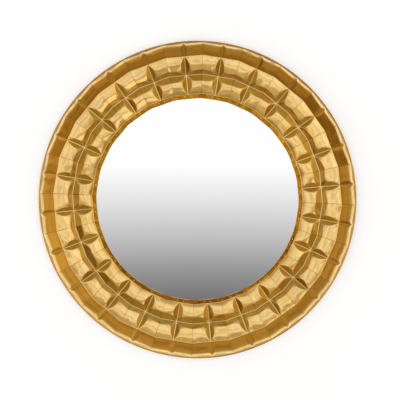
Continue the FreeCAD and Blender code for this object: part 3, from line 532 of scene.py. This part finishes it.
def make_rim_band(material):
    """The brass band round the edge, drawn in towards the front, with its flange."""
    def waver(angles, height):
        share = (height - RING_BACK) / (FLANGE_TOP - RING_BACK)
        wave = sum(strength * np.sin(angles * count + phase)
                   for count, strength, phase in BAND_WAVES)
        return -BAND_SHRINK - BAND_WAVE_HEIGHT * wave * (0.4 + share)

    outline = rounded(BAND_OUTLINE, BAND_ROUNDING)
    band = make_turned("spun_rim_band", outline, 360, waver=waver)
    band.data.materials.append(material)
    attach(band, ROOT)
    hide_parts("rim_band")


def dome_arc(bend, steps):
    """Radii and heights from near the axis to the bevel, on a sphere about the dome's centre."""
    limit = math.asin((GLASS_RADIUS - GLASS_BEVEL) / bend)
    angles = limit * np.linspace(0.002, 1, steps)
    return [(bend * math.sin(angle), GLASS_CENTRE + bend * math.cos(angle)) for angle in angles]


def make_dome(material):
    """The convex mirror: two spheres about one centre, with an eased edge."""
    back_bend = GLASS_BEND - GLASS_THICKNESS
    front = dome_arc(GLASS_BEND, 60)
    back = dome_arc(back_bend, 20)
    edge = [(GLASS_RADIUS, front[-1][1] - GLASS_EDGE_DROP),
            (GLASS_RADIUS, back[-1][1] + GLASS_BEVEL)]
    profile = front + edge + back[::-1]
    dome = make_turned("mirror_dome", profile, GLASS_SEGMENTS, closed_profile=False)
    mesh = dome.data
    points = [vertex.co[:] for vertex in mesh.vertices]
    faces = [tuple(face.vertices) for face in mesh.polygons]
    front_pole = len(points)
    back_pole = front_pole + 1
    points.append((0.0, -(GLASS_CENTRE + GLASS_BEND) * METRE, 0.0))
    points.append((0.0, -(GLASS_CENTRE + back_bend) * METRE, 0.0))
    last = (len(profile) - 1) * GLASS_SEGMENTS
    for column in range(GLASS_SEGMENTS):
        following = (column + 1) % GLASS_SEGMENTS
        faces.append((front_pole, following, column))
        faces.append((back_pole, last + column, last + following))
    mesh.clear_geometry()
    mesh.from_pydata(points, [], faces)
    mesh.polygons.foreach_set("use_smooth", [True] * len(mesh.polygons))
    dome.data.materials.append(material)
    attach(dome, ROOT)
    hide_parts("convex_mirror_glass")


# ---------------------------------------------------------------- material nodes

def start_material(name):
    """A new material with its node tree and its shader."""
    material = bpy.data.materials.new(name)
    material.use_nodes = True
    tree = material.node_tree
    shader = tree.nodes["Principled BSDF"]
    return material, tree, shader


def add(tree, kind, inputs=None, **settings):
    """A node with its settings, and its inputs given as numbers, colours or sockets."""
    node = tree.nodes.new(kind)
    for key, setting in settings.items():
        setattr(node, key, setting)
    for key, content in (inputs or {}).items():
        socket = node.inputs[key]
        if isinstance(content, bpy.types.NodeSocket):
            tree.links.new(content, socket)
        else:
            socket.default_value = content
    return node


def math_node(tree, operation, *terms):
    """A calculation with numbers and sockets, such as a product or a sum."""
    node = tree.nodes.new("ShaderNodeMath")
    node.operation = operation
    for index, content in enumerate(terms):
        if isinstance(content, bpy.types.NodeSocket):
            tree.links.new(content, node.inputs[index])
        else:
            node.inputs[index].default_value = content
    return node.outputs[0]


def mix_colour(tree, share, first, second, blend="MIX"):
    """The first colour turned into the second by a share, or multiplied with it.

    On a colour mix the share is input 0, the colours are 6 and 7 and the result is output 2.
    """
    node = tree.nodes.new("ShaderNodeMix")
    node.data_type = "RGBA"
    node.blend_type = blend
    for socket, content in ((node.inputs[0], share), (node.inputs[6], first),
                            (node.inputs[7], second)):
        if isinstance(content, bpy.types.NodeSocket):
            tree.links.new(content, socket)
        elif isinstance(content, (int, float)):
            socket.default_value = content
        else:
            socket.default_value = (*content[:3], 1.0)
    return node.outputs[2]


def scaled(tree, vector, scale):
    """Places stretched along their axes, which draws a noise out into grain."""
    node = add(tree, "ShaderNodeVectorMath", {0: vector, 1: scale}, operation="MULTIPLY")
    return node.outputs[0]


def noise(tree, vector, scale=1.0, detail=3.0, rough=0.55):
    """A soft random value from 0 to 1 that changes about scale times in a unit of the vector."""
    node = add(tree, "ShaderNodeTexNoise", {"Vector": vector, "Scale": scale, "Detail": detail,
                                            "Roughness": rough})
    return node.outputs["Fac"]


def ramp(tree, share, stops, interpolation="LINEAR"):
    """A colour ramp through (place, colour) stops; a plain number stands for a grey."""
    node = tree.nodes.new("ShaderNodeValToRGB")
    node.color_ramp.interpolation = interpolation
    elements = node.color_ramp.elements
    while len(elements) < len(stops):
        elements.new(0.5)
    for element, (place, colour) in zip(elements, sorted(stops, key=lambda stop: stop[0])):
        element.position = place
        shade = (colour,) * 3 if isinstance(colour, (int, float)) else colour
        element.color = (*shade, 1.0)
    tree.links.new(share, node.inputs[0])
    return node.outputs[0]


def roughen(tree, shader, relief, strength, depth):
    """A fine relief on the surface, as deep as depth in metres."""
    bump = add(tree, "ShaderNodeBump", {"Height": relief, "Strength": strength, "Distance": depth})
    tree.links.new(bump.outputs[0], shader.inputs["Normal"])


def attribute(tree, name, output="Fac"):
    """What a mesh carries under a name."""
    return add(tree, "ShaderNodeAttribute", attribute_name=name).outputs[output]


# Brass by region: the open floors; painted shade on the steep flanks, the folds, the outer flute,
# the lip towards the glass, the creases and the rim band; painted highlights on the hem and the
# crests; and the tint of grazing reflections. The steep shade colour also darkens brushing streaks
# and the crease shade colour also makes small specks.
BRASS_BRIGHT = (0.88, 0.625, 0.265)
BRASS_WARM = (0.85, 0.56, 0.185)
BRASS_STEEP_SHADE_AND_STREAK = (0.66, 0.35, 0.044)
BRASS_FLANK_SHADE = (0.62, 0.44, 0.15)
BRASS_FOLD_SHADE = (0.60, 0.30, 0.028)
BRASS_RIM_SHADE = (0.80, 0.40, 0.055)
BRASS_HEM_HIGHLIGHT = (0.98, 0.79, 0.44)
BRASS_LIP_SHADE = ((0.25, 0.10, 0.012), (0.46, 0.215, 0.032))
BRASS_CREASE_SHADE_AND_FLECK = (0.40, 0.18, 0.02)
BRASS_CREST_HIGHLIGHT = (0.91, 0.69, 0.32)
BRASS_BAND_SHADE = (0.48, 0.26, 0.055)
BRASS_EDGE = (0.90, 0.62, 0.28, 1.0)

# Light and dark colours of the boards, with the scales that draw out their grain along x, y and z,
# then metals with their least roughness, rubber and white.
CARVED_WOOD = ((0.62, 0.43, 0.26), (0.45, 0.28, 0.15), (240.0, 240.0, 14.0))
PLYWOOD = ((0.66, 0.48, 0.30), (0.50, 0.33, 0.18), (300.0, 300.0, 9.0))
HARDBOARD = ((0.30, 0.18, 0.095), (0.21, 0.12, 0.06), (420.0, 420.0, 420.0))
ZINC = ((0.72, 0.72, 0.70), 0.28)
PIN_BRASS = ((0.86, 0.66, 0.36), 0.22)
RUBBER = ((0.030, 0.029, 0.028), (0.055, 0.052, 0.050))
WHITE = (1.0, 1.0, 1.0)


def pressed_colour(tree, place, floor):
    """The colour of a panel: the floor's colour with painted shade on steep parts, folds, flanks,
    the outer flute, the lip and creases, and painted highlights on crests and the hem.
    """
    # Painted shade on steep parts: darker at the folds, lighter on the flanks, redder in the outer
    # flute.
    steep = math_node(tree, "MULTIPLY", attribute(tree, "steep"), 0.94)
    # Painted shade in the creases.
    crease_shade = math_node(tree, "MULTIPLY", attribute(tree, "crease_shade"), 0.25)
    # Painted highlight along the crests.
    crest = math_node(tree, "MULTIPLY", attribute(tree, "crest"), 0.8)
    deep = mix_colour(tree, attribute(tree, "fold"), BRASS_STEEP_SHADE_AND_STREAK, BRASS_FOLD_SHADE)
    deep = mix_colour(tree, attribute(tree, "flank"), deep, BRASS_FLANK_SHADE)
    deep = mix_colour(tree, attribute(tree, "rim"), deep, BRASS_RIM_SHADE)
    # Painted shade on the lip down to the glass, in uneven patches.
    patches = ramp(tree, noise(tree, place, scale=70.0, detail=2.0), [(0.36, 0.0), (0.66, 1.0)])
    lip_shade_colour = mix_colour(tree, patches, *BRASS_LIP_SHADE)
    # Painted highlight along the flat edge at the rim, broken into patches.
    highlight_patches = ramp(tree, noise(tree, place, scale=14.0, detail=2.0), [(0.38, 0.35), (0.58, 0.95)])
    hem = math_node(tree, "MULTIPLY", attribute(tree, "hem"), highlight_patches)
    colour = mix_colour(tree, steep, floor, deep)
    colour = mix_colour(tree, attribute(tree, "lip"), colour, lip_shade_colour)
    colour = mix_colour(tree, crease_shade, colour, BRASS_CREASE_SHADE_AND_FLECK)
    colour = mix_colour(tree, crest, colour, BRASS_CREST_HIGHLIGHT)
    colour = mix_colour(tree, hem, colour, BRASS_HEM_HIGHLIGHT)
    shade = math_node(tree, "MULTIPLY_ADD", attribute(tree, "tone"), 0.05, 0.96)
    return add(tree, "ShaderNodeHueSaturation", {"Color": colour, "Value": shade}).outputs[0]


def brass_material(name, pressed=True):
    """Lacquered sheet brass, brushed both ways; on the panels painted shade in creases and on
    steep parts and painted highlights on crests, on the band an overall painted shade.
    """
    material, tree, shader = start_material(name)
    if pressed:
        place = attribute(tree, "sheet_place", "Vector")
    else:
        place = add(tree, "ShaderNodeTexCoord").outputs["Object"]
    cloud = noise(tree, place, scale=26.0, detail=4.0)
    along = noise(tree, scaled(tree, place, (900.0, 60.0, 1.0)))
    across = noise(tree, scaled(tree, place, (60.0, 900.0, 1.0)))
    streak = math_node(tree, "MULTIPLY", math_node(tree, "ADD", along, across), 0.5)
    fleck = noise(tree, place, scale=330.0, detail=2.0)
    warmth = ramp(tree, cloud, [(0.35, 0.0), (0.75, 1.0)])
    colour = mix_colour(tree, warmth, BRASS_BRIGHT, BRASS_WARM)
    if pressed:
        colour = pressed_colour(tree, place, colour)
    else:
        # The band's overall darker colour is painted shade of its steep wall.
        colour = mix_colour(tree, 0.8, colour, BRASS_BAND_SHADE)
    speck = ramp(tree, fleck, [(0.70, 0.0), (0.80, 0.3)])
    colour = mix_colour(tree, speck, colour, BRASS_CREASE_SHADE_AND_FLECK)
    colour = mix_colour(tree, ramp(tree, streak, [(0.35, 0.16), (0.6, 0.0)]), colour, BRASS_STEEP_SHADE_AND_STREAK)
    tree.links.new(colour, shader.inputs["Base Color"])
    shader.inputs["Metallic"].default_value = 1.0
    shader.inputs["Specular Tint"].default_value = BRASS_EDGE
    rough = ramp(tree, streak, [(0.3, 0.20), (0.7, 0.10)])
    tree.links.new(rough, shader.inputs["Roughness"])
    relief = math_node(tree, "ADD", math_node(tree, "MULTIPLY", streak, 0.3),
                       math_node(tree, "MULTIPLY", cloud, 3.0))
    roughen(tree, shader, relief, strength=0.3, depth=0.0004)
    return material


def mirror_material():
    """Silvered glass: almost pure reflection with a faint unevenness in the silver."""
    material, tree, shader = start_material("silvered_glass")
    place = add(tree, "ShaderNodeTexCoord").outputs["Object"]
    haze = noise(tree, place, scale=5.0)
    colour = mix_colour(tree, haze, (0.985, 0.985, 0.985), WHITE)
    tree.links.new(colour, shader.inputs["Base Color"])
    shader.inputs["Metallic"].default_value = 1.0
    shader.inputs["Roughness"].default_value = 0.0
    return material


def wood_material(name, light, dark, scale):
    """Sawn wood or board: grain drawn out by the scale, with a little figure."""
    material, tree, shader = start_material(name)
    place = add(tree, "ShaderNodeTexCoord").outputs["Object"]
    grain = noise(tree, scaled(tree, place, scale), detail=5.0, rough=0.6)
    figure = noise(tree, place, scale=9.0, detail=2.0)
    colour = mix_colour(tree, ramp(tree, grain, [(0.32, 0.0), (0.68, 1.0)]), light, dark)
    colour = mix_colour(tree, math_node(tree, "MULTIPLY", figure, 0.3), colour, dark)
    tree.links.new(colour, shader.inputs["Base Color"])
    tree.links.new(ramp(tree, grain, [(0.2, 0.62), (0.8, 0.8)]), shader.inputs["Roughness"])
    roughen(tree, shader, grain, strength=0.3, depth=0.0004)
    return material


def steel_material(name, colour, rough):
    """Plated or bright metal with a soft cloudy surface and fine scratches."""
    material, tree, shader = start_material(name)
    place = add(tree, "ShaderNodeTexCoord").outputs["Object"]
    cloud = noise(tree, place, scale=160.0)
    scratch = noise(tree, scaled(tree, place, (2500.0, 2500.0, 160.0)), detail=2.0)
    darker = tuple(part * 0.72 for part in colour)
    shade = mix_colour(tree, ramp(tree, cloud, [(0.35, 0.0), (0.7, 1.0)]), colour, darker)
    tree.links.new(shade, shader.inputs["Base Color"])
    shader.inputs["Metallic"].default_value = 1.0
    tree.links.new(ramp(tree, scratch, [(0.3, rough), (0.7, rough + 0.15)]),
                   shader.inputs["Roughness"])
    roughen(tree, shader, scratch, strength=0.2, depth=0.0001)
    return material


def rubber_material():
    """Dark soft rubber with a fine matt grain."""
    material, tree, shader = start_material("bumper_rubber")
    place = add(tree, "ShaderNodeTexCoord").outputs["Object"]
    grain = noise(tree, place, scale=900.0)
    colour = mix_colour(tree, grain, *RUBBER)
    tree.links.new(colour, shader.inputs["Base Color"])
    tree.links.new(ramp(tree, grain, [(0.2, 0.7), (0.8, 0.9)]), shader.inputs["Roughness"])
    roughen(tree, shader, grain, strength=0.25, depth=0.0001)
    return material


def dress(node_name, material):
    """Gives a CAD node that stays its finished material."""
    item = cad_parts[node_name]
    item.data.materials.clear()
    item.data.materials.append(material)


# ---------------------------------------------------------------- studio

CAMERA_DISTANCE = 4.0
CAMERA_LOW = 0.085
FRAME_SHIFT_X = 0.007
FRAME_SHIFT_Z = -0.002
LENS = 127.0

# The studio's brightness. ROOM runs from behind the object to the viewer's side, LEVEL from the
# floor up to the ceiling, SIDE from left to right, CARDS over a soft noise, and MIRRORED is what
# the mirror itself shows, from low to high.
DIM = (0.54, 0.50, 0.42)
ROOM = [(0.0, 0.95), (0.08, 0.85), (0.18, DIM), (0.5, DIM), (0.64, (0.63, 0.60, 0.54)),
        (0.76, 0.88), (0.85, 1.0), (1.0, 1.0)]
LEVEL = [(0.0, 0.92), (0.15, 0.95), (0.33, 1.1), (0.565, 1.08), (0.61, (0.68, 0.59, 0.43)),
         (0.80, (0.62, 0.53, 0.38)), (0.94, (0.84, 0.79, 0.68)), (1.0, 0.86)]
SIDE = [(0.0, 1.2), (0.4, 1.0), (1.0, 0.86)]
CARDS = [(0.38, 0.74), (0.5, 1.0), (0.62, 1.12)]
MIRRORED = [(0.285, 0.15), (0.36, 0.32), (0.5, 0.765), (0.58, 1.0)]

WALL_REACH = 3.0
WALL_PLACE = 0.001
WALL_PAINT = (0.90, 0.93, 0.98, 1.0)
WALL_HAZE = (0.258, 0.262, 0.27, 1.0)


def make_camera():
    """The photograph's view: straight on from the front, a little below the middle."""
    data = bpy.data.cameras.new("camera")
    camera = bpy.data.objects.new("camera", data)
    bpy.context.scene.collection.objects.link(camera)
    data.lens = LENS
    data.sensor_width = 36.0
    data.clip_end = 60.0
    camera.location = (FRAME_SHIFT_X, -CAMERA_DISTANCE, -CAMERA_LOW)
    rise = math.atan2(FRAME_SHIFT_Z + CAMERA_LOW, CAMERA_DISTANCE)
    camera.rotation_euler = (math.pi / 2 + rise, 0.0, 0.0)
    bpy.context.scene.camera = camera


def make_world():
    """A soft bright studio: what the brass sees, what the mirror sees, and a white backdrop."""
    world = bpy.data.worlds.new("studio")
    bpy.context.scene.world = world
    world.use_nodes = True
    tree = world.node_tree
    tree.nodes.clear()
    direction = add(tree, "ShaderNodeTexCoord").outputs["Generated"]
    parts = add(tree, "ShaderNodeSeparateXYZ", {0: direction}).outputs
    toward = math_node(tree, "MULTIPLY_ADD", parts["Y"], -0.5, 0.5)
    height = math_node(tree, "MULTIPLY_ADD", parts["Z"], 0.5, 0.5)
    side = math_node(tree, "MULTIPLY_ADD", parts["X"], 0.5, 0.5)
    soft = ramp(tree, toward, ROOM)
    cards = noise(tree, direction, scale=3.0, detail=1.0)
    for share, stops in ((height, LEVEL), (side, SIDE), (cards, CARDS)):
        soft = mix_colour(tree, 1.0, soft, ramp(tree, share, stops), "MULTIPLY")
    rays = add(tree, "ShaderNodeLightPath").outputs
    first = math_node(tree, "LESS_THAN", rays["Ray Depth"], 2.5)
    straight = math_node(tree, "MULTIPLY", rays["Is Singular Ray"], first)
    seen = mix_colour(tree, straight, soft, ramp(tree, height, MIRRORED))
    seen = mix_colour(tree, rays["Is Camera Ray"], seen, WHITE)
    background = add(tree, "ShaderNodeBackground", {"Color": seen, "Strength": 1.0})
    output = add(tree, "ShaderNodeOutputWorld")
    tree.links.new(background.outputs[0], output.inputs[0])


def add_softbox(name, place, size, power):
    """A square area lamp aimed at the middle of the mirror."""
    data = bpy.data.lights.new(name, "AREA")
    data.shape = "SQUARE"
    data.size = size
    data.energy = power
    lamp = bpy.data.objects.new(name, data)
    bpy.context.scene.collection.objects.link(lamp)
    lamp.location = place
    aim = -lamp.location
    lamp.rotation_euler = aim.to_track_quat("-Z", "Y").to_euler()


def wall_material():
    """Pale paint that fades to white, seen by the camera alone and only from the front."""
    material = bpy.data.materials.new("wall_paint")
    material.use_nodes = True
    tree = material.node_tree
    tree.nodes.clear()
    place = add(tree, "ShaderNodeTexCoord").outputs["Object"]
    far = add(tree, "ShaderNodeVectorMath", {0: place}, operation="LENGTH").outputs["Value"]
    fade = ramp(tree, math_node(tree, "MULTIPLY", far, 0.5), [(0.3, 0.0), (0.6, 1.0)], "EASE")
    paint = add(tree, "ShaderNodeBsdfDiffuse", {"Color": WALL_PAINT})
    haze = add(tree, "ShaderNodeEmission", {"Color": WALL_HAZE, "Strength": 1.0})
    near = add(tree, "ShaderNodeAddShader", {0: paint.outputs[0], 1: haze.outputs[0]})
    glow = add(tree, "ShaderNodeEmission", {"Color": (*WHITE, 1.0), "Strength": 1.0})
    lit = add(tree, "ShaderNodeMixShader", {0: fade, 1: near.outputs[0], 2: glow.outputs[0]})
    clear = add(tree, "ShaderNodeBsdfTransparent")
    rays = add(tree, "ShaderNodeLightPath")
    faces = add(tree, "ShaderNodeNewGeometry")
    front = math_node(tree, "SUBTRACT", 1.0, faces.outputs["Backfacing"])
    shown = math_node(tree, "MULTIPLY", rays.outputs["Is Camera Ray"], front)
    mixed = add(tree, "ShaderNodeMixShader", {0: shown, 1: clear.outputs[0], 2: lit.outputs[0]})
    output = add(tree, "ShaderNodeOutputMaterial")
    tree.links.new(mixed.outputs[0], output.inputs[0])
    return material


def make_wall():
    """A pale wall that catches the soft shadow in front and is not there from behind."""
    corners = [(x * WALL_REACH, WALL_PLACE, z * WALL_REACH)
               for x, z in ((-1, -1), (1, -1), (1, 1), (-1, 1))]
    mesh = bpy.data.meshes.new("wall")
    mesh.from_pydata(corners, [], [(0, 1, 2, 3)])
    mesh.materials.append(wall_material())
    wall = bpy.data.objects.new("wall", mesh)
    bpy.context.scene.collection.objects.link(wall)


# ---------------------------------------------------------------- the whole

def make_frame_pieces():
    """The brass, the core under it and the mirror, in place of their CAD nodes."""
    brass = brass_material("pressed_brass")
    rim_brass = brass_material("spun_brass", pressed=False)
    core_wood = wood_material("carved_wood", *CARVED_WOOD)
    rows = row_places(fine=0.75, coarse=2.0)
    for number in range(PANEL_COUNT):
        make_panel(number, rows, brass)
    core_rows = row_places(fine=1.6, coarse=4.5)
    for number in range(PANEL_COUNT // 2):
        make_core(number, core_rows, core_wood)
    make_rim_band(rim_brass)
    make_dome(mirror_material())


def dress_cad_pieces():
    """Finishes for the CAD nodes that stay as they are."""
    dress("back_ring", wood_material("plywood", *PLYWOOD))
    dress("back_board", wood_material("hardboard", *HARDBOARD))
    rubber = rubber_material()
    for name in ("glass_packing_ring", "wall_bumpers"):
        dress(name, rubber)
    zinc = steel_material("zinc_steel", *ZINC)
    for name in ("hanger_strap_left", "hanger_strap_right", "hanger_ring_left",
                 "hanger_ring_right", "strap_screws", "frame_screws", "board_screws"):
        dress(name, zinc)
    dress("lip_pins", steel_material("pin_brass", *PIN_BRASS))


def light_studio():
    """Camera, surroundings, wall and two soft lamps."""
    make_camera()
    make_world()
    make_wall()
    add_softbox("key", place=(-1.3, -2.5, 1.9), size=1.5, power=4.5)
    add_softbox("fill", place=(1.7, -2.5, 1.2), size=1.2, power=1.5)
    bpy.context.scene.view_settings.view_transform = "Standard"


make_frame_pieces()
dress_cad_pieces()
light_studio()
